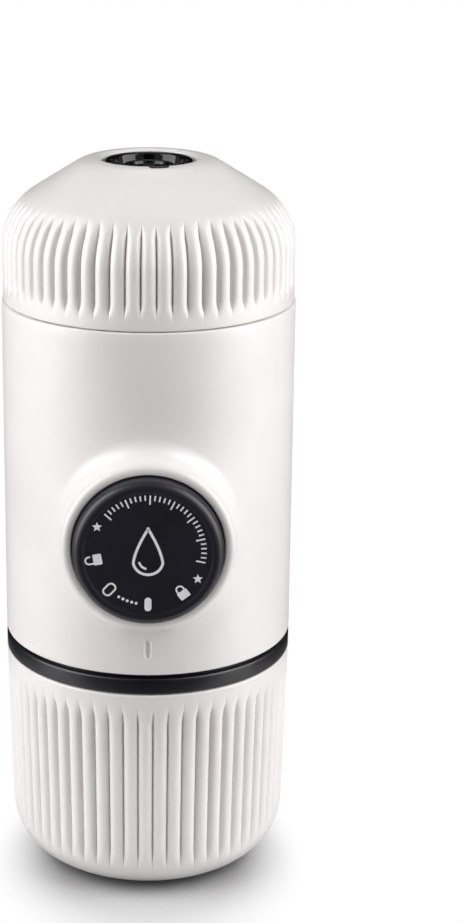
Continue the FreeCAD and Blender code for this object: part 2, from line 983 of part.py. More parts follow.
def dome_corners(inset, flats=None):
    """Corners of the dome's outline, moved inwards by inset, with its roundings as arcs or flats."""
    slope = math.radians(dome_slope)
    side = dome_radius - inset
    side_top = dome_top - (side - dome_crest_radius) * math.tan(slope) - inset / math.cos(slope)
    crest = dome_crest_radius - inset * math.tan(slope / 2)
    return [
        (side, dome_bottom),
        (side, side_top, dome_shoulder - inset, flats),
        (crest, dome_top - inset, dome_crest_round - inset, flats),
    ]


def dome_grooves():
    """Grooves from just above the parting line over the shoulder, fading at both ends."""
    slope = math.radians(dome_slope)
    side_top = dome_corners(0)[1][1]
    centre_height = side_top - dome_shoulder * math.tan((math.pi / 2 - slope) / 2)
    low = dome_bottom + dome_plain_bottom
    sections = [
        groove_section(dome_radius, low, 0, -slide_fit),
        groove_section(dome_radius, low + groove_fade, 0, groove_depth),
    ]
    centre_radius = dome_radius - dome_shoulder
    last = dome_groove_end
    sections += groove_round(centre_radius, centre_height, dome_shoulder, 0, last, dome_groove_steps)
    last += groove_end_fade
    along = math.radians(last)
    sections.append(
        groove_section(
            centre_radius + dome_shoulder * math.cos(along),
            centre_height + dome_shoulder * math.sin(along),
            last,
            -slide_fit,
        )
    )
    return all_grooves(sections, 180 / rib_count)


def portafilter_shell():
    """White ribbed dome of the portafilter, with the round hole for the nozzle."""
    outside = dome_corners(0)
    inside = dome_corners(dome_wall, inner_flats)
    rim = [(nozzle_hole_radius, dome_top, nozzle_hole_round), (nozzle_hole_radius, dome_top - dome_wall)]
    dome = lathe(outside + rim + inside[::-1])
    half = dome_wall / 2
    middle = lathe([(0, dome_bottom)] + dome_corners(half, inner_flats) + [(0, dome_top - half)])
    boss_low = holder_bottom + holder_flange
    bosses = []
    for x, y in portafilter_screw_spots():
        bosses.append(cylinder(portafilter_boss, boss_low, dome_top, x, y).common(middle))
    cuts = [cylinder(screw_radius + seat_fit, boss_low, boss_low + screw_length, x, y)
            for x, y in portafilter_screw_spots()]
    reach = nozzle_hole_radius + notch_depth
    notch = box(notch_width, reach, dome_wall, -notch_width / 2, -reach, dome_top - dome_wall)
    cuts.append(turned(notch, notch_angle))
    return dome.fuse(bosses).cut(cuts + dome_grooves())


def outlet_nozzle():
    """Glossy black spout with a raised ring, a trough and a centre bore."""
    outer = nozzle_hole_radius - nozzle_gap
    stem_low = socket_top - stem_length
    ring_middle = stem_low + stem_length / 2
    groove_half = nozzle_seal_wire + flat_gap
    groove_floor = stem_radius - 2 * nozzle_seal_wire - flat_gap
    trough_floor = nozzle_face_z - nozzle_trough
    return lathe([
        (nozzle_bore, stem_low),
        (stem_radius, stem_low),
        (stem_radius, ring_middle - groove_half),
        (groove_floor, ring_middle - groove_half),
        (groove_floor, ring_middle + groove_half),
        (stem_radius, ring_middle + groove_half),
        (stem_radius, socket_top + flat_gap),
        (outer, socket_top + flat_gap),
        (outer, nozzle_face_z, nozzle_edge),
        (outer - nozzle_ring, nozzle_face_z, nozzle_edge),
        (outer - nozzle_ring - nozzle_edge, trough_floor, nozzle_edge),
        (nozzle_boss_radius + nozzle_edge, trough_floor, nozzle_edge),
        (nozzle_boss_radius, nozzle_face_z - nozzle_boss_drop, nozzle_edge),
        (nozzle_bore, nozzle_face_z - nozzle_boss_drop, nozzle_edge),
    ])


def nozzle_seal():
    return seal_ring(stem_radius - nozzle_seal_wire, nozzle_seal_wire, socket_top - stem_length / 2)


sub_parts = [
    cup,
    tank_collar,
    water_tank,
    neck_o_ring,
    tank_gasket,
    body_shell,
    neck_socket,
    pump_block,
    body_screws,
    head_screws,
    inlet_strainer,
    inlet_valve_seat,
    inlet_ball,
    inlet_spring,
    outlet_ball,
    outlet_spring,
    outlet_valve_plug,
    head_seal,
    vent_valve,
    piston_rod,
    piston_o_rings,
    rod_wiper,
    piston_carrier,
    piston_spring,
    piston_knob,
    brew_head,
    shower_screen,
    brew_gasket,
    filter_basket,
    basket_seal,
    portafilter_holder,
    portafilter_screws,
    portafilter_shell,
    outlet_nozzle,
    nozzle_seal,
]

os.makedirs("parts", exist_ok=True)
for make in sub_parts:
    shape = make()
    shape.exportStep("parts/" + make.__name__ + ".step")
    print(make.__name__, len(shape.Solids), round(shape.Volume, 1), shape.isValid())
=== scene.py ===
import bmesh
import bpy
import json
import math
from mathutils import Matrix, Vector


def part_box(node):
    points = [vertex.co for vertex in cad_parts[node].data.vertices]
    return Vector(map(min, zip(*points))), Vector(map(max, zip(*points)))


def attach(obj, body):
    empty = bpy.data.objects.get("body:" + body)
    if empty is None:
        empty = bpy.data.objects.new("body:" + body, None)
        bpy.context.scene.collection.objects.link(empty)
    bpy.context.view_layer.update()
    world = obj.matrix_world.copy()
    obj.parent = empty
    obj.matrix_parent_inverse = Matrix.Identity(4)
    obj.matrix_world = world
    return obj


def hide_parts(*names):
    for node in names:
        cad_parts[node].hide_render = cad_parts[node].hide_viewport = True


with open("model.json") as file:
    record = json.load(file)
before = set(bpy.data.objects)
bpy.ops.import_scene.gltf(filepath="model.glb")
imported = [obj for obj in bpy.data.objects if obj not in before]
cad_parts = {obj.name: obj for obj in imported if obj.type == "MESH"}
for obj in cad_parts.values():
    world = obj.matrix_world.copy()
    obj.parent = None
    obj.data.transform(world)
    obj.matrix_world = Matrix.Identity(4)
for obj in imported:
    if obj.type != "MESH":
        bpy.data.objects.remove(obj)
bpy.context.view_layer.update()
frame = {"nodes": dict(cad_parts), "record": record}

MM = 0.001


def box_mm(node):
    """Low and high corner of a CAD node's box, in millimetres."""
    return [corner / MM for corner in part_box(node)]


# Lengths are in millimetres up to the studio. These are read from the solids
cup_high = box_mm("cup")[1]
ring_low, ring_high = box_mm("tank_collar")
shell_low, shell_high = box_mm("body_shell")
dome_low, dome_high = box_mm("portafilter_shell")
knob_low, knob_high = box_mm("piston_knob")
nozzle_low, nozzle_high = box_mm("outlet_nozzle")
tank_high = box_mm("water_tank")[1]
body_radius = shell_high.x
dome_radius = dome_high.x
knob_height = (knob_low.z + knob_high.z) / 2
knob_reach = -knob_low.y
collar_reach = -shell_low.y

# Grip ribs. The first groove is in degrees from the front, the round is half a rib's arc
rib_count = 60
rib_columns = 12
rib_depth = 1.15
rib_round = math.radians(80)
cup_first_groove = 2.1
dome_first_groove = 3.0

# Dome
dome_slope = math.radians(32.15)
dome_crest_radius = 13.5
dome_shoulder = 13.0
dome_crest_round = 8.0
dome_wall = 2.0
hole_radius = 9.8
hole_round = 1.0

# Cup
cup_draft = 1.3
cup_corner = 12.0
cup_wall = 1.8
cup_rim_round = 0.6

# Knob, a little slimmer than its solid, as it looks in the photo
knob_trim = 0.35
knob_radius = knob_high.x - knob_trim
knob_wall = 1.45
knob_face_thickness = 2.0
knob_dish = 0.2
knob_dish_edge = 2.6
knob_rim_width = 2.0

# Nozzle: how far its ring lies under the dome's top
nozzle_depth = 0.35

# Collar round the knob
bore_gap = 0.25
bore_radius = knob_radius + bore_gap
bore_round = 0.3
collar_wall = 2.25
collar_radius = bore_radius + collar_wall
collar_fillet = 4.0
collar_lip_round = 1.45
collar_depth = -knob_high.y
shell_wall = 2.0
shell_rim_round = 0.3
patch_half = 25.0

# Distances within which vertices are made one
section_weld = 0.0005
rib_weld = 0.005
housing_weld = 0.002


def smooth_step(low, high, value):
    """Eased share from 0 at low to 1 at high."""
    share = min(max((value - low) / (high - low), 0.0), 1.0)
    return share * share * (3 - 2 * share)


# Shapes

def rounding(back_point, here, ahead_point, radius):
    """Start, centre and turn of the arc that rounds a corner in the XZ plane."""
    back = (back_point - here).normalized()
    ahead = (ahead_point - here).normalized()
    half = back.angle(ahead) / 2
    reach = radius / math.tan(half)
    start = here + back * reach
    end = here + ahead * reach
    centre = here + (back + ahead).normalized() * (radius / math.sin(half))
    side = (start - centre).cross(end - centre).y
    return start, centre, math.copysign(math.pi - 2 * half, side)


def made_verts(geom):
    """The vertices among what an operator made."""
    return [item for item in geom if isinstance(item, bmesh.types.BMVert)]


def edges_among(geom, verts):
    """The edges among what an operator made that run between two of the given vertices."""
    edges = [item for item in geom if isinstance(item, bmesh.types.BMEdge)]
    return [edge for edge in edges if all(v in verts for v in edge.verts)]


def draw_section(bm, corners, closed=True, arc_steps=8):
    """Draws a section's outline in the XZ plane. A corner of three numbers is rounded."""
    points = [Vector((corner[0], 0, corner[1])) * MM for corner in corners]
    first = None
    last = None
    for i, corner in enumerate(corners):
        if len(corner) == 3:
            ahead = points[(i + 1) % len(points)]
            start, centre, turn = rounding(points[i - 1], points[i], ahead, corner[2] * MM)
            vert = bm.verts.new(start)
            spun = bmesh.ops.spin(bm, geom=[vert], cent=centre, axis=(0, 1, 0), dvec=(0, 0, 0),
                                  angle=turn, steps=arc_steps, use_merge=False, use_duplicate=False)
            end = made_verts(spun["geom_last"])[0]
        else:
            vert = bm.verts.new(points[i])
            end = vert
        if last:
            bm.edges.new((last, vert))
        else:
            first = vert
        last = end
    if closed:
        bm.edges.new((last, first))


def split_long_edges(bm, spacing):
    """Cuts every edge into lengths of about spacing millimetres."""
    for edge in list(bm.edges):
        cuts = int(edge.calc_length() / MM / spacing)
        if cuts:
            bmesh.ops.subdivide_edges(bm, edges=[edge], cuts=cuts)


def turn_section(bm, steps):
    """Turns all that is drawn about Z into a closed round shape."""
    geom = bm.verts[:] + bm.edges[:]
    bmesh.ops.spin(bm, geom=geom, cent=(0, 0, 0), axis=(0, 0, 1), dvec=(0, 0, 0),
                   angle=2 * math.pi, steps=steps, use_merge=True, use_duplicate=False)
    bmesh.ops.remove_doubles(bm, verts=bm.verts[:], dist=section_weld * MM)
    bmesh.ops.recalc_face_normals(bm, faces=bm.faces[:])


def turn_ribs(bm, first_groove, low, low_fade, high, high_fade):
    """Turns the section through one rib, presses the groove, and repeats the rib all round."""
    start = Matrix.Rotation(math.radians(first_groove - 90), 4, "Z")
    bmesh.ops.transform(bm, matrix=start, verts=bm.verts[:])
    pitch = 2 * math.pi / rib_count
    geom = bm.verts[:] + bm.edges[:]
    bmesh.ops.spin(bm, geom=geom, cent=(0, 0, 0), axis=(0, 0, 1), dvec=(0, 0, 0),
                   angle=pitch, steps=rib_columns, use_merge=False, use_duplicate=False)
    bmesh.ops.remove_doubles(bm, verts=bm.verts[:], dist=section_weld * MM)
    bmesh.ops.recalc_face_normals(bm, faces=bm.faces[:])
    flute(bm, first_groove, low, low_fade, high, high_fade)
    geom = bm.verts[:] + bm.edges[:] + bm.faces[:]
    bmesh.ops.spin(bm, geom=geom, cent=(0, 0, 0), axis=(0, 0, 1), dvec=(0, 0, 0),
                   angle=2 * math.pi - pitch, steps=rib_count - 1, use_merge=False, use_duplicate=True)
    bmesh.ops.remove_doubles(bm, verts=bm.verts[:], dist=rib_weld * MM)
    bmesh.ops.recalc_face_normals(bm, faces=bm.faces[:])


def face_front(bm):
    """Turns a shape made on Z so that its +Z reaches out to the front along the knob's axis."""
    place = Matrix.Translation((0, 0, knob_height * MM)) @ Matrix.Rotation(math.pi / 2, 4, "X")
    bmesh.ops.transform(bm, matrix=place, verts=bm.verts[:])


def add_object(name, bm, material):
    """Makes an object of the shape at the origin and puts it in the scene."""
    mesh = bpy.data.meshes.new(name)
    bm.to_mesh(mesh)
    bm.free()
    made = bpy.data.objects.new(name, mesh)
    bpy.context.scene.collection.objects.link(made)
    mesh.materials.append(material)
    return made


def make_piece(name, bm, material, body, replaced=(), sharp=35.0):
    """Makes a piece that is smooth between edges past the sharp angle, and lets it ride."""
    for face in bm.faces:
        face.smooth = True
    for edge in bm.edges:
        if len(edge.link_faces) == 2 and edge.calc_face_angle(0) > math.radians(sharp):
            edge.smooth = False
    piece = add_object(name, bm, material)
    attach(piece, body)
    if replaced:
        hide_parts(*replaced)


def lathe_piece(name, corners, material, body, replaced, closed=True, front=False):
    """Makes a piece turned from its section, about Z or, with front, about the knob's axis."""
    bm = bmesh.new()
    draw_section(bm, corners, closed)
    turn_section(bm, 256)
    if front:
        face_front(bm)
    make_piece(name, bm, material, body, replaced)


def outer_face(face):
    """Whether a face of the rib being made looks outwards, away from the axis."""
    middle = face.calc_center_median()
    least = 0.2
    return face.normal.x * middle.x + face.normal.y * middle.y > least * math.hypot(middle.x, middle.y)


def section_normal(vert):
    """Outward way at a vertex, from its outward faces, kept in the plane through the axis."""
    way = Vector((0, 0, 0))
    for face in vert.link_faces:
        if outer_face(face):
            way += face.normal
    outward = Vector((vert.co.x, vert.co.y, 0)).normalized()
    return Vector((outward.x * way.dot(outward), outward.y * way.dot(outward), way.z)).normalized()


def flute(bm, first_groove, low, low_fade, high, high_fade):
    """Presses the grooves between the ribs into the outside, fading at both ends.

    Each rib is an arc of rib_round to either side of its crest, and the columns of vertices are
    drawn towards the groove, where the arc is steepest.
    """
    bm.normal_update()
    pitch = 360 / rib_count
    moves = {}
    for vert in set(v for face in bm.faces if outer_face(face) for v in face.verts):
        height = vert.co.z / MM
        weight = smooth_step(low, low + low_fade, height)
        weight *= 1 - smooth_step(high - high_fade, high, height)
        angle = math.degrees(math.atan2(vert.co.x, -vert.co.y))
        off_crest = 2 * (((angle - first_groove) / pitch) % 1) - 1
        turn = rib_round * off_crest
        shift = math.sin(turn) / math.sin(rib_round) - off_crest
        cut = (1 - math.cos(turn)) / (1 - math.cos(rib_round))
        vert.co -= section_normal(vert) * (rib_depth * MM * weight * cut)
        moves[vert] = Matrix.Rotation(math.radians(shift * pitch / 2), 4, "Z") @ vert.co
    for vert, place in moves.items():
        vert.co = place


# Materials

def linear(code):
    """Opaque linear colour from an sRGB hex value."""
    parts = [int(code[i:i + 2], 16) / 255 for i in (1, 3, 5)]
    return tuple(c / 12.92 if c <= 0.04045 else ((c + 0.055) / 1.055) ** 2.4 for c in parts) + (1.0,)


def add_node(tree, kind, settings=None, **links):
    """Adds a node. Settings are attributes or input values, links are input=(node, output)."""
    node = tree.nodes.new(kind)
    for key, value in (settings or {}).items():
        if hasattr(node, key):
            setattr(node, key, value)
        else:
            node.inputs[key].default_value = value
    for key, (source, output) in links.items():
        tree.links.new(source.outputs[output], node.inputs[key.replace("_", " ")])
    return node


def new_material(name, **sockets):
    """Principled material whose plain values are set on the shader's own sockets."""
    material = bpy.data.materials.new(name)
    material.use_nodes = True
    tree = material.node_tree
    shader = tree.nodes["Principled BSDF"]
    for key, value in sockets.items():
        shader.inputs[key.replace("_", " ")].default_value = value
    return material, tree, shader


def mottled_colour(tree, shader, dark, light, size_mm):
    """Slow drift between two near colours, as moulded plastic has under soft light."""
    place = add_node(tree, "ShaderNodeTexCoord")
    noise = add_node(tree, "ShaderNodeTexNoise", {"Scale": 1 / (size_mm * MM), "Detail": 3.0},
                     Vector=(place, "Object"))
    ramp = add_node(tree, "ShaderNodeValToRGB", Fac=(noise, "Fac"))
    for stop, position, colour in zip(ramp.color_ramp.elements, (0.35, 0.65), (dark, light)):
        stop.position = position
        stop.color = linear(colour)
    tree.links.new(ramp.outputs["Color"], shader.inputs["Base Color"])
    return place


def surface_grain(tree, shader, place, size_mm, height_mm, rough_low, rough_high, stretch=(1, 1, 1)):
    """Fine relief and a roughness that follows it. Stretch draws the grain out along an axis."""
    mapping = add_node(tree, "ShaderNodeMapping", {"Scale": stretch}, Vector=(place, "Object"))
    noise = add_node(tree, "ShaderNodeTexNoise", {"Scale": 1 / (size_mm * MM), "Detail": 2.0},
                     Vector=(mapping, "Vector"))
    bump = add_node(tree, "ShaderNodeBump", {"Strength": 1.0, "Distance": height_mm * MM},
                    Height=(noise, "Fac"))
    tree.links.new(bump.outputs["Normal"], shader.inputs["Normal"])
    spread = add_node(tree, "ShaderNodeMapRange", {"To Min": rough_low, "To Max": rough_high},
                      Value=(noise, "Fac"))
    tree.links.new(spread.outputs["Result"], shader.inputs["Roughness"])


def white_moulded_abs():
    """ABS with a fine spark-eroded mould grain: warm white, with broad soft highlights."""
    material, tree, shader = new_material("white_moulded_abs", IOR=1.53, Coat_Weight=0.4, Coat_Roughness=0.3)
    place = mottled_colour(tree, shader, "#e6e2e1", "#ebe8e7", 18)
    surface_grain(tree, shader, place, 0.35, 0.006, 0.36, 0.46)
    return material


def black_moulded_abs():
    """Black ABS off a fine-grained mould: near black, with a soft cool sheen."""
    material, tree, shader = new_material("black_moulded_abs", IOR=1.53)
    place = mottled_colour(tree, shader, "#0c0b10", "#111016", 9)
    surface_grain(tree, shader, place, 0.3, 0.005, 0.26, 0.34)
    return material


def knob_abs():
    """Black ABS with a matt face that takes pad printing: dark, faintly blue, an even sheen."""
    material, tree, shader = new_material("knob_abs", IOR=1.53)
    place = mottled_colour(tree, shader, "#13121b", "#181722", 7)
    surface_grain(tree, shader, place, 0.25, 0.007, 0.34, 0.44)
    return material


def polished_black_abs():
    """Black ABS from a polished mould: deep black with sharp window highlights."""
    material, tree, shader = new_material("polished_black_abs", IOR=1.53, Specular_IOR_Level=0.35)
    place = mottled_colour(tree, shader, "#050507", "#08080a", 6)
    surface_grain(tree, shader, place, 2.5, 0.003, 0.06, 0.12)
    return material


def pad_print_ink():
    """Pale grey-white ink, pad printed: even and slightly matt, with thin spots."""
    material, tree, shader = new_material("pad_print_ink", IOR=1.5)
    place = mottled_colour(tree, shader, "#e9e9f0", "#f2f2f8", 0.9)
    surface_grain(tree, shader, place, 0.2, 0.003, 0.45, 0.6)
    return material


def smoke_copolyester():
    """Clear copolyester with a smoke tint, injection moulded: see-through, glossy, grey at its edges."""
    material, tree, shader = new_material("smoke_copolyester", IOR=1.57, Transmission_Weight=0.85)
    place = mottled_colour(tree, shader, "#6c6c72", "#7a7a80", 14)
    surface_grain(tree, shader, place, 3.0, 0.004, 0.05, 0.12)
    return material


def brushed_stainless():
    """Stainless sheet, deep drawn and lightly brushed round: grey metal with fine turned lines."""
    material, tree, shader = new_material("brushed_stainless", Metallic=1.0)
    place = mottled_colour(tree, shader, "#b4b2b0", "#c6c4c2", 5)
    surface_grain(tree, shader, place, 0.4, 0.004, 0.2, 0.34, (0.15, 0.15, 1.5))
    return material


def plain_steel(name):
    """Stainless steel as drawn to wire or cold headed: bright grey metal with a faint grain."""
    material, tree, shader = new_material(name, Metallic=1.0)
    place = mottled_colour(tree, shader, "#9c9b9a", "#b0afae", 2)
    surface_grain(tree, shader, place, 0.3, 0.003, 0.25, 0.36)
    return material


def black_silicone():
    """Moulded black silicone: soft matt black that catches a wide grey sheen."""
    material, tree, shader = new_material("black_silicone", IOR=1.41)
    place = mottled_colour(tree, shader, "#17171a", "#1e1e21", 4)
    surface_grain(tree, shader, place, 0.3, 0.008, 0.55, 0.68)
    return material


def milky_silicone():
    """Unpigmented silicone: milky, soft and slightly see-through at thin edges."""
    depth = (2 * MM, 2 * MM, 2 * MM)
    material, tree, shader = new_material("milky_silicone", IOR=1.41, Subsurface_Weight=0.3,
                                          Subsurface_Radius=depth)
    place = mottled_colour(tree, shader, "#d2d0c8", "#deddd6", 4)
    surface_grain(tree, shader, place, 0.3, 0.006, 0.45, 0.58)
    return material


def turned_acetal():
    """White acetal, turned: waxy white with fine lathe lines."""
    material, tree, shader = new_material("turned_acetal", IOR=1.48)
    place = mottled_colour(tree, shader, "#dcdbd6", "#e6e5e1", 5)
    surface_grain(tree, shader, place, 0.3, 0.004, 0.3, 0.42, (0.2, 0.2, 2.0))
    return material


finish = {
    "white_abs": white_moulded_abs(),
    "black_abs": black_moulded_abs(),
    "knob_black": knob_abs(),
    "nozzle_black": polished_black_abs(),
    "smoke_tank": smoke_copolyester(),
    "black_silicone": black_silicone(),
    "clear_silicone": milky_silicone(),
    "stainless_steel": brushed_stainless(),
    "spring_steel": plain_steel("drawn_spring_steel"),
    "screw_steel": plain_steel("cold_headed_steel"),
    "white_acetal": turned_acetal(),
}
ink = pad_print_ink()

for entry in frame["record"]["subparts"]:
    solid = frame["nodes"][entry["node"]]
    solid.data.materials.clear()
    solid.data.materials.append(finish[entry["material_slot"]])


# Outer pieces

def dome_outline(inset):
    """Side and crest corners of the dome, moved inwards by inset."""
    side = dome_radius - inset
    drop = (side - dome_crest_radius) * math.tan(dome_slope) + inset / math.cos(dome_slope)
    crest = dome_crest_radius - inset * math.tan(dome_slope / 2)
    return [
        (side, dome_high.z - drop, dome_shoulder - inset),
        (crest, dome_high.z - inset, dome_crest_round - inset),
    ]


def ribbed_dome():
    """White dome of the portafilter, with grip ribs that run out over the shoulder."""
    bottom = dome_low.z
    inner = dome_outline(dome_wall)
    corners = [(dome_radius, bottom, 0.35)] + dome_outline(0)
    corners += [(hole_radius, dome_high.z, hole_round), (hole_radius, dome_high.z - dome_wall)]
    corners += inner[::-1] + [(dome_radius - dome_wall, bottom)]
    bm = bmesh.new()
    draw_section(bm, corners, arc_steps=11)
    split_long_edges(bm, spacing=1.1)
    turn_ribs(bm, dome_first_groove, low=bottom + 2.6, low_fade=2.8, high=bottom + 21.6, high_fade=3.6)
    notch_rim(bm)
    make_piece("ribbed_dome", bm, finish["white_abs"], "portafilter",
               ["portafilter_shell"], sharp=50)


def notch_rim(bm):
    """Presses the small finger notch into the hole's rim, a little to the right of the front."""
    middle = math.radians(11)
    half_width = 2.05
    notch_depth = 2.0
    widest = hole_radius + 3.4
    lowest = dome_high.z - dome_wall - 0.1
    for vert in bm.verts:
        radius = math.hypot(vert.co.x, vert.co.y) / MM
        if radius > widest or vert.co.z / MM < lowest or vert.co.y > 0:
            continue
        across = radius * (math.atan2(vert.co.x, -vert.co.y) - middle)
        depth = notch_depth * (1 - smooth_step(half_width - 0.3, half_width + 0.2, abs(across)))
        near = 1 - smooth_step(hole_radius + 0.9, hole_radius + 3.3, radius)
        outward = Vector((vert.co.x, vert.co.y, 0)).normalized()
        vert.co += outward * (depth * near * MM)


def ribbed_cup():
    """White drinking cup with grip ribs and a large rounded corner."""
    base = body_radius - cup_draft
    top = cup_high.z
    bm = bmesh.new()
    draw_section(bm, [
        (0, 0),
        (base, 0, cup_corner),
        (body_radius, top, cup_rim_round),
        (body_radius - cup_wall, top, cup_rim_round),
        (base - cup_wall, cup_wall, cup_corner - cup_wall),
        (0, cup_wall),
    ], closed=False, arc_steps=12)
    split_long_edges(bm, spacing=1.7)
    turn_ribs(bm, cup_first_groove, low=7.0, low_fade=4.4, high=top - 3.4, high_fade=3.6)
    make_piece("ribbed_cup", bm, finish["white_abs"], "cup", ["cup"], sharp=50)


def black_ring():
    """Black ring of the tank, with the skirt that the cup slips over."""
    tank_gap = 0.05
    skirt_gap = 0.5
    cup_gap = 0.1
    inner = tank_high.x + tank_gap
    skirt = body_radius - cup_wall - skirt_gap
    lathe_piece("black_ring", [
        (inner, ring_low.z),
        (skirt, ring_low.z, 0.4),
        (skirt, cup_high.z + cup_gap),
        (body_radius, cup_high.z + cup_gap, 0.35),
        (body_radius, ring_high.z, 0.5),
        (inner, ring_high.z),
    ], finish["black_abs"], "water_tank", ["tank_collar"])


def turning_knob():
    """Hollow black knob with a faintly dished face and a rounded edge."""
    inner = knob_radius - knob_wall
    back = -knob_high.y
    lathe_piece("turning_knob", [
        (0, knob_reach - knob_dish),
        (knob_radius - knob_dish_edge, knob_reach - knob_dish, 1.6),
        (knob_radius - knob_rim_width, knob_reach, 0.8),
        (knob_radius, knob_reach, 1.7),
        (knob_radius, back, 0.4),
        (inner, back),
        (inner, knob_reach - knob_face_thickness),
        (0, knob_reach - knob_face_thickness),
    ], finish["knob_black"], "piston_knob", ["piston_knob"], closed=False, front=True)


def outlet_nozzle():
    """Glossy black spout: a raised ring, a trough and a stepped boss round the bore."""
    face = dome_high.z - nozzle_depth
    trough = face - 3.3
    boss = face - 1.0
    outer = nozzle_high.x
    stem = nozzle_low.z
    shoulder = stem + 3.5
    stem_radius = 5.0
    bore = 1.5
    lathe_piece("spout_nozzle", [
        (bore, stem),
        (stem_radius, stem, 0.3),
        (stem_radius, shoulder),
        (outer, shoulder, 0.4),
        (outer, face, 0.7),
        (outer - 1.7, face, 0.7),
        (outer - 2.5, trough, 0.7),
        (5.9, trough, 0.6),
        (5.3, boss, 0.5),
        (4.3, boss, 0.4),
        (3.9, face - 1.8, 0.4),
        (bore, face - 2.2, 0.4),
    ], finish["nozzle_black"], "outlet_nozzle", ["outlet_nozzle"])


def surface_reach(radius, ring, angle):
    """How far out to the front a round wall of the given radius lies, on a circle round the knob's axis."""
    return math.sqrt(radius ** 2 - (ring * math.cos(angle)) ** 2)


def fillet_foot(angle):
    """Where the collar's fillet touches the body: distance from the knob's axis, and lean of the touch."""
    centre = collar_radius + collar_fillet
    foot = centre
    rounds_to_settle = 12
    for _ in range(rounds_to_settle):
        slope = -foot * math.cos(angle) ** 2 / surface_reach(body_radius, foot, angle)
        foot = centre + collar_fillet * slope / math.sqrt(1 + slope ** 2)
    return foot, math.atan(-slope)


def fillet_place(angle, share):
    """A place on the fillet, from the collar's side at share 0 to the body at share 1."""
    foot, lean = fillet_foot(angle)
    centre_reach = surface_reach(body_radius, foot, angle) + collar_fillet * math.cos(lean)
    turn = math.pi + (math.pi / 2 - lean) * share
    ring = collar_radius + collar_fillet + collar_fillet * math.cos(turn)
    return ring, centre_reach + collar_fillet * math.sin(turn)


def patch_place(radius, angle, start, share):
    """A place on a round wall, from a circle of the given start to the patch's square edge."""
    square = patch_half / max(abs(math.cos(angle)), abs(math.sin(angle)))
    ring = start + (square - start) * share
    return ring, surface_reach(radius, ring, angle)


def outer_rings():
    """Rings from the bore's deep end out over the collar's rim and fillet to the patch's edge."""
    bore_steps = 3
    lip_steps = 7
    fillet_steps = 14
    patch_steps = 6
    rings = [lambda angle, reach=reach: (bore_radius, reach) for reach in (24, 30, collar_reach - bore_round)]
    for i in range(1, bore_steps + 1):
        turn = math.pi / 2 * i / bore_steps
        rings.append(lambda angle, turn=turn: (bore_radius + bore_round - bore_round * math.cos(turn),
                                               collar_reach - bore_round + bore_round * math.sin(turn)))
    for i in range(lip_steps + 1):
        turn = math.pi / 2 * (1 - i / lip_steps)
        rings.append(lambda angle, turn=turn: (collar_radius - collar_lip_round * (1 - math.cos(turn)),
                                               collar_reach - collar_lip_round * (1 - math.sin(turn))))
    for i in range(fillet_steps + 1):
        rings.append(lambda angle, share=i / fillet_steps: fillet_place(angle, share))
    for i in range(1, patch_steps + 1):
        rings.append(lambda angle, share=i / patch_steps: patch_place(body_radius, angle,
                                                                      fillet_foot(angle)[0], share))
    return rings


def inner_rings():
    """Rings from the bore's deep end back along the well's outside to the inner wall's patch edge."""
    radius = body_radius - shell_wall
    patch_steps = 4
    rings = [lambda angle: (collar_radius, collar_depth)]
    for i in range(patch_steps + 1):
        rings.append(lambda angle, share=i / patch_steps: patch_place(radius, angle, collar_radius, share))
    return rings


def extrude_ring(bm, edges, place):
    """Extrudes a ring of edges and puts each new vertex where place says for its angle."""
    made = bmesh.ops.extrude_edge_only(bm, edges=edges)["geom"]
    verts = made_verts(made)
    for vert in verts:
        angle = math.atan2(vert.co.z / MM - knob_height, vert.co.x / MM)
        ring, reach = place(angle)
        vert.co = Vector((ring * math.cos(angle), -reach, knob_height + ring * math.sin(angle))) * MM
    return edges_among(made, verts)


def at_seam(vert, radius):
    """Whether a vertex lies on the patch's right-hand edge, on the wall of the given radius."""
    near = 0.002
    across = abs(vert.co.x / MM - patch_half)
    return across < near and abs(math.hypot(vert.co.x, vert.co.y) / MM - radius) < near


def wall_round(bm, edges, radius):
    """Carries a square patch on to the top, to the bottom and round the back."""
    patch = set(v for edge in edges for v in edge.verts)
    top = max(v.co.z for v in patch)
    bottom = min(v.co.z for v in patch)
    for level, goal, steps in ((top, shell_high.z * MM, 8), (bottom, shell_low.z * MM, 3)):
        row = [e for e in edges if all(abs(v.co.z - level) < 0.001 * MM for v in e.verts)]
        for _ in range(steps):
            made = bmesh.ops.extrude_edge_only(bm, edges=row)["geom"]
            verts = made_verts(made)
            bmesh.ops.translate(bm, vec=(0, 0, (goal - level) / steps), verts=verts)
            row = edges_among(made, verts)
    column = [e for e in bm.edges if all(at_seam(v, radius) for v in e.verts)]
    turn = 2 * math.pi - 2 * math.asin(patch_half / radius)
    geom = list(set(v for edge in column for v in edge.verts)) + column
    bmesh.ops.spin(bm, geom=geom, cent=(0, 0, 0), axis=(0, 0, 1), dvec=(0, 0, 0), angle=turn,
                   steps=150, use_merge=False, use_duplicate=False)


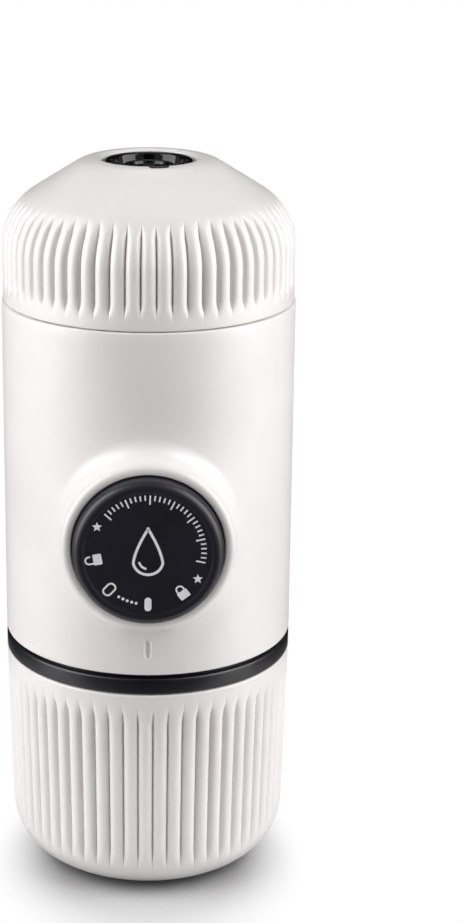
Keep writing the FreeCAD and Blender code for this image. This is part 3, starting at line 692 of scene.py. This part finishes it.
def body_housing():
    """White pump housing: a tube that flows into the collar round the knob."""
    bm = bmesh.new()
    bmesh.ops.create_circle(bm, cap_ends=False, radius=bore_radius * MM, segments=192)
    bmesh.ops.translate(bm, vec=(0, 0, collar_depth * MM), verts=bm.verts[:])
    face_front(bm)
    start = bm.edges[:]
    for rings, radius in ((outer_rings(), body_radius), (inner_rings(), body_radius - shell_wall)):
        edges = start
        for place in rings:
            edges = extrude_ring(bm, edges, place)
        wall_round(bm, edges, radius)
    bmesh.ops.remove_doubles(bm, verts=bm.verts[:], dist=housing_weld * MM)
    rims = [e for e in bm.edges if e.is_boundary]
    for level in (shell_low.z, shell_high.z):
        rim = [e for e in rims if all(abs(v.co.z / MM - level) < 0.01 for v in e.verts)]
        bmesh.ops.bridge_loops(bm, edges=rim)
    bmesh.ops.recalc_face_normals(bm, faces=bm.faces[:])
    soften_rims(bm)
    cut_index_mark(bm)
    make_piece("pump_housing", bm, finish["white_abs"], "main_body", ["body_shell"])


def soften_rims(bm):
    """Rounds the outer edges at the housing's top and bottom."""
    rims = []
    ends = (shell_low.z, shell_high.z)
    for edge in bm.edges:
        at_end = all(min(abs(v.co.z / MM - end) for end in ends) < 0.01 for v in edge.verts)
        on_outside = all(math.hypot(v.co.x, v.co.y) / MM > body_radius - 0.1 for v in edge.verts)
        if at_end and on_outside:
            rims.append(edge)
    bmesh.ops.bevel(bm, geom=rims, offset=shell_rim_round * MM, segments=3, profile=0.5,
                    affect="EDGES", material=-1)


def cut_index_mark(bm):
    """Presses the short upright index groove into the front, under the knob."""
    low = shell_low.z + 3.6
    high = low + 4.4
    half = 0.9
    depth = 0.45
    slope = 0.5
    near = []
    for face in bm.faces:
        spot = face.calc_center_median() / MM
        if spot.y < -body_radius + 1 and abs(spot.x) < 5 and low - 2 < spot.z < high + 2:
            near.append(face)
    across = (-1.05, -0.9, -0.75, -0.6, -0.4, -0.15, 0.15, 0.4, 0.6, 0.75, 0.9, 1.05)
    up = (low - 0.2, low, low + 0.25, low + 0.5, high - 0.5, high - 0.25, high, high + 0.2)
    cuts = [((1, 0, 0), (x, 0, 0)) for x in across] + [((0, 0, 1), (0, 0, z)) for z in up]
    for normal, spot in cuts:
        geom = [item for f in near if f.is_valid for item in [f] + list(f.edges) + list(f.verts)]
        made = bmesh.ops.bisect_plane(bm, geom=list(set(geom)), dist=0.0001 * MM,
                                      plane_co=Vector(spot) * MM, plane_no=normal)["geom"]
        near = [item for item in made if isinstance(item, bmesh.types.BMFace)]
    for vert in set(v for f in near if f.is_valid for v in f.verts):
        x = vert.co.x / MM
        z = vert.co.z / MM
        past = max(low + half - z, z - high + half, 0)
        inside = 1 - smooth_step(half - slope, half, math.hypot(x, past))
        reach = math.sqrt(body_radius ** 2 - x ** 2) - depth * inside
        if math.hypot(vert.co.x, vert.co.y) / MM > body_radius - 0.5:
            vert.co.y = -reach * MM


# Print on the knob's face

print_level = knob_reach - knob_dish
print_rise = 0.75
print_thickness = 0.06
# Marks that overlap lie this much above one another, so that their faces don't fall together
print_step = 0.015


def around(radius, clockwise_from_bottom):
    """Place on the knob's face, by distance from its middle and angle from six o'clock."""
    angle = math.radians(clockwise_from_bottom)
    return Vector((-radius * math.sin(angle), -radius * math.cos(angle), 0))


def facing_out(spot):
    """Turn that points a mark's +Y away from the knob's middle."""
    return Matrix.Rotation(math.atan2(-spot.x, spot.y), 4, "Z")


def add_mark(bm, mark, spot, turn=None):
    """Copies a flat mark, made round the middle in millimetres, to its spot on the face."""
    place = Matrix.Translation(spot) @ (turn or Matrix.Identity(4))
    bmesh.ops.transform(mark, matrix=place, verts=mark.verts[:])
    mesh = bpy.data.meshes.new("mark")
    mark.to_mesh(mesh)
    mark.free()
    bm.from_mesh(mesh)
    bpy.data.meshes.remove(mesh)


def disc(radius, segments=24):
    """Round dot."""
    mark = bmesh.new()
    bmesh.ops.create_circle(mark, cap_ends=True, radius=radius, segments=segments)
    return mark


def bar(width, height, rounding_radius=0.0):
    """Upright bar, with round corners if a radius is given."""
    mark = bmesh.new()
    size = Matrix.Diagonal((width / 2, height / 2, 1, 1))
    bmesh.ops.create_grid(mark, x_segments=1, y_segments=1, size=1, matrix=size)
    if rounding_radius:
        bmesh.ops.bevel(mark, geom=mark.verts[:], offset=rounding_radius, segments=8, profile=0.5,
                        affect="VERTICES", material=-1)
    return mark


def outlined(mark, stroke):
    """Leaves only a border as wide as stroke."""
    faces = mark.faces[:]
    bmesh.ops.inset_region(mark, faces=faces, thickness=stroke, use_even_offset=True, use_boundary=True)
    bmesh.ops.delete(mark, geom=faces, context="FACES")
    return mark


def arc_line(radius, start, end, stroke):
    """Curved line about the middle, between two angles from +X."""
    mark = bmesh.new()
    angle = math.radians(start)
    ends = [mark.verts.new((r * math.cos(angle), r * math.sin(angle), 0))
            for r in (radius - stroke / 2, radius + stroke / 2)]
    edge = mark.edges.new(ends)
    bmesh.ops.spin(mark, geom=ends + [edge], cent=(0, 0, 0), axis=(0, 0, 1), dvec=(0, 0, 0),
                   angle=math.radians(end - start), steps=24, use_merge=False, use_duplicate=False)
    return mark


def star(radius):
    """Five-pointed star: a circle of ten with every other point drawn in."""
    mark = bmesh.new()
    bmesh.ops.create_circle(mark, cap_ends=True, radius=radius, segments=10)
    mark.verts.ensure_lookup_table()
    for vert in mark.verts:
        angle = round(math.degrees(math.atan2(vert.co.y, vert.co.x)) - 90)
        if angle % 72:
            vert.co *= 0.45
    return mark


def padlock(bm, spot, turn, opened):
    """Small padlock sign, with its bow swung up when opened."""
    bow = 0.75
    stroke = 0.34
    lift = 0.55 if opened else 0.1
    add_mark(bm, bar(2.3, 1.75, 0.25), spot + turn @ Vector((0, -0.7, print_step)), turn)
    add_mark(bm, arc_line(bow, 0, 180, stroke), spot + turn @ Vector((0, lift + 0.45, 0)), turn)
    for x, length in ((-bow, 1.0), (bow, 0.35 if opened else 1.0)):
        middle = Vector((x, lift + 0.47 - length / 2, -0.01))
        add_mark(bm, bar(stroke, length), spot + turn @ middle, turn)


def drop_sign(bm):
    """Plain water drop in outline, in the middle of the knob."""
    radius = 3.3
    waist = 0.5
    height = radius + waist
    taper = 0.55
    stretch = 1.05
    mark = bmesh.new()
    bmesh.ops.create_circle(mark, cap_ends=True, radius=radius, segments=64)
    for vert in mark.verts:
        rise = max(vert.co.y + waist, 0)
        vert.co.x *= (1 - rise / height) ** taper if rise < height else 0
        vert.co.y += rise * stretch
    middle = Vector((0, -2.0, 0))
    tip = Vector((0, radius + height * stretch - 0.5, print_step))
    add_mark(bm, outlined(mark, 0.55), middle)
    add_mark(bm, disc(0.3, 12), middle + tip)
    add_mark(bm, arc_line(1.8, 190, 260, 0.45), middle)


def knob_print():
    """Pad-printed signs: index pill, turn dots, open and closed padlocks, a ticked arc and a drop."""
    bm = bmesh.new()
    pill_ring = 11.4
    lock_ring = 11.0
    tick_ring = 11.75
    star_radius = 1.05
    add_mark(bm, bar(1.4, 2.9, 0.68), around(pill_ring, 0))
    spot = around(11.3, 43.5)
    add_mark(bm, outlined(bar(2.1, 3.1, 1.0), 0.36), spot, facing_out(spot))
    for i in range(5):
        add_mark(bm, disc(0.3), around(pill_ring, 12 + 4.75 * i))
    add_mark(bm, star(star_radius), Vector((-10.2, 5.1, 0)))
    add_mark(bm, star(star_radius), Vector((10.0, -5.9, 0)))
    spot = around(lock_ring, 80)
    padlock(bm, spot, facing_out(spot), True)
    spot = around(lock_ring, -38)
    padlock(bm, spot, facing_out(-spot), False)
    for i in range(31):
        length = 1.9 if i % 5 == 0 else 1.1
        spot = around(tick_ring - length / 2, 132 + 5 * i)
        add_mark(bm, bar(0.3, length), spot, facing_out(spot))
    drop_sign(bm)
    bmesh.ops.scale(bm, vec=(MM, MM, MM), verts=bm.verts[:])
    bmesh.ops.translate(bm, vec=(0, print_rise * MM, print_level * MM), verts=bm.verts[:])
    thick = bmesh.ops.extrude_face_region(bm, geom=bm.faces[:])["geom"]
    bmesh.ops.translate(bm, vec=(0, 0, print_thickness * MM), verts=made_verts(thick))
    bmesh.ops.recalc_face_normals(bm, faces=bm.faces[:])
    face_front(bm)
    make_piece("knob_print", bm, ink, "piston_knob")


ribbed_dome()
ribbed_cup()
black_ring()
turning_knob()
outlet_nozzle()
body_housing()
knob_print()


# Floor, light and camera, in metres

aim_height = 0.09
black_card = new_material("black_card", Roughness=0.9, Base_Color=linear("#0a0a0a"))[0]


def math_node(tree, operation, first, second):
    """Output of a maths node whose two inputs are sockets or plain numbers."""
    node = add_node(tree, "ShaderNodeMath", {"operation": operation})
    for socket, value in zip(node.inputs, (first, second)):
        if isinstance(value, float):
            socket.default_value = value
        else:
            tree.links.new(value, socket)
    return node.outputs["Value"]


def floor_fade(tree, place, near, far, shift=(0, 0, 0), scale=(1, 1, 1)):
    """Value that grows from 0 at near to 1 at far, with the distance from the maker."""
    mapping = add_node(tree, "ShaderNodeMapping", {"Location": shift, "Scale": scale},
                       Vector=(place, "Object"))
    length = add_node(tree, "ShaderNodeVectorMath", {"operation": "LENGTH"})
    tree.links.new(mapping.outputs["Vector"], length.inputs[0])
    limits = {"From Min": near, "From Max": far, "interpolation_type": "SMOOTHSTEP"}
    return add_node(tree, "ShaderNodeMapRange", limits, Value=(length, "Value")).outputs["Result"]


def floor_material():
    """Pale studio floor: satin, with a painted contact shadow that darkens its colour in the nook under the
    maker, running out to plain white.
    """
    material, tree, shader = new_material("studio_floor", Roughness=0.22, Specular_IOR_Level=0.35)
    place = add_node(tree, "ShaderNodeTexCoord")
    path = add_node(tree, "ShaderNodeLightPath")
    # Painted contact shadow: ambient occlusion darkens the floor's own colour from #f0f0f0 towards #6e6e6e
    # under and beside the maker
    painted_shadow_ao = add_node(tree, "ShaderNodeAmbientOcclusion", {"samples": 8, "Distance": 0.032})
    ramp = add_node(tree, "ShaderNodeValToRGB", Fac=(painted_shadow_ao, "AO"))
    ramp.color_ramp.elements[0].color = linear("#6e6e6e")
    ramp.color_ramp.elements[1].color = linear("#f0f0f0")
    tree.links.new(ramp.outputs["Color"], shader.inputs["Base Color"])
    seen = floor_fade(tree, place, near=0.026, far=0.05, shift=(0, 0.01, 0), scale=(1.4, 1, 1))
    mirrored = floor_fade(tree, place, near=0.35, far=0.9)
    to_camera = math_node(tree, "MULTIPLY", seen, path.outputs["Is Camera Ray"])
    clear = math_node(tree, "MULTIPLY", mirrored, path.outputs["Is Transmission Ray"])
    glossy = math_node(tree, "MULTIPLY", mirrored, path.outputs["Is Glossy Ray"])
    grey = math_node(tree, "MULTIPLY", glossy, 0.5)
    share = math_node(tree, "MAXIMUM", to_camera, math_node(tree, "MAXIMUM", clear, grey))
    white = add_node(tree, "ShaderNodeEmission", {"Color": (1, 1, 1, 1), "Strength": 1.0})
    mix = add_node(tree, "ShaderNodeMixShader")
    tree.links.new(share, mix.inputs[0])
    tree.links.new(shader.outputs["BSDF"], mix.inputs[1])
    tree.links.new(white.outputs["Emission"], mix.inputs[2])
    tree.links.new(mix.outputs["Shader"], tree.nodes["Material Output"].inputs["Surface"])
    return material


def studio_floor():
    """Level floor, far wider than the picture."""
    bm = bmesh.new()
    bmesh.ops.create_grid(bm, x_segments=1, y_segments=1, size=4)
    add_object("studio_floor", bm, floor_material())


def white_world():
    """White to the camera and through clear plastic, grey in reflections, and dim to all else."""
    in_reflections = 0.4
    to_the_rest = 0.1
    world = bpy.data.worlds.new("studio_world")
    bpy.context.scene.world = world
    world.use_nodes = True
    tree = world.node_tree
    path = add_node(tree, "ShaderNodeLightPath")
    seen = math_node(tree, "MAXIMUM", path.outputs["Is Camera Ray"], path.outputs["Is Transmission Ray"])
    glossy = math_node(tree, "MULTIPLY", path.outputs["Is Glossy Ray"], in_reflections)
    strength = math_node(tree, "MAXIMUM", math_node(tree, "MAXIMUM", seen, glossy), to_the_rest)
    tree.nodes["Background"].inputs["Color"].default_value = (1, 1, 1, 1)
    tree.links.new(strength, tree.nodes["Background"].inputs["Strength"])


def softbox(name, azimuth, distance, height, size, radiance):
    """Area lamp that faces the maker from an azimuth counted from the front towards +X."""
    angle = math.radians(azimuth)
    place = Vector((distance * math.sin(angle), -distance * math.cos(angle), height))
    light = bpy.data.lights.new(name, "AREA")
    light.shape = "RECTANGLE"
    light.size = size[0]
    light.size_y = size[1]
    light.energy = radiance * math.pi * size[0] * size[1]
    lamp = bpy.data.objects.new(name, light)
    lamp.location = place
    lamp.rotation_euler = (Vector((0, 0, aim_height)) - place).to_track_quat("-Z", "Y").to_euler()
    bpy.context.scene.collection.objects.link(lamp)


def studio_lights():
    """A tall softbox on either side, and one high behind."""
    for name, side in (("left", -1), ("right", 1)):
        softbox(name + "_softbox", side * 72, distance=0.38, height=0.26, size=(0.34, 0.5), radiance=4.15)
    softbox("top_softbox", 180, distance=0.45, height=0.8, size=(0.4, 0.3), radiance=1.9)


def flag(name, azimuth, distance, size, lean=0.0):
    """Black card that the camera doesn't see. It darkens what the maker reflects."""
    bm = bmesh.new()
    shape = Matrix.Diagonal((size[0] / 2, size[1] / 2, 1, 1))
    bmesh.ops.create_grid(bm, x_segments=1, y_segments=1, size=1, matrix=shape)
    upright = Matrix.Rotation(math.pi / 2 - lean, 4, "X")
    reach = Matrix.Translation((0, -distance, size[1] / 2 * math.cos(lean) + 0.002))
    swing = Matrix.Rotation(math.radians(azimuth), 4, "Z")
    bmesh.ops.transform(bm, matrix=swing @ reach @ upright, verts=bm.verts[:])
    card = add_object(name, bm, black_card)
    card.visible_camera = False


def studio_flags():
    """Cards before, behind and beside the maker, standing or laid on the floor."""
    laid = math.pi / 2
    flag("front_flag", 0, distance=0.75, size=(0.5, 1.0))
    flag("floor_flag", 0, distance=0.28, size=(0.4, 0.36), lean=laid)
    flag("back_flag", 180, distance=0.7, size=(0.5, 0.5))
    for name, side in (("left", -1), ("right", 1)):
        flag(name + "_flag", side * 140, distance=0.4, size=(0.34, 0.9))
        flag(name + "_floor_flag", side * 130, distance=0.32, size=(0.34, 0.4), lean=laid)


def photo_camera():
    """Camera at the photograph's place, from a fit to the maker's outline."""
    focal_pixels = 2235.76
    picture = (463, 923)
    middle = (148.31, 444.44)
    sensor = 36.0
    pitch = 0.3051
    roll = 0.0023
    place = (0, -0.45964, 0.23835)
    camera = bpy.data.cameras.new("photo_camera")
    camera.sensor_width = sensor
    camera.lens = focal_pixels / picture[1] * sensor
    camera.shift_x = (picture[0] / 2 - middle[0]) / picture[1]
    camera.shift_y = (middle[1] - picture[1] / 2) / picture[1]
    camera.clip_start = 0.01
    stand = bpy.data.objects.new("photo_camera", camera)
    turn = Matrix.Rotation(math.pi / 2 - pitch, 4, "X") @ Matrix.Rotation(roll, 4, "Z")
    stand.matrix_world = Matrix.Translation(place) @ turn
    bpy.context.scene.collection.objects.link(stand)
    bpy.context.scene.camera = stand


studio_floor()
white_world()
studio_lights()
studio_flags()
photo_camera()
bpy.context.scene.view_settings.view_transform = "Standard"
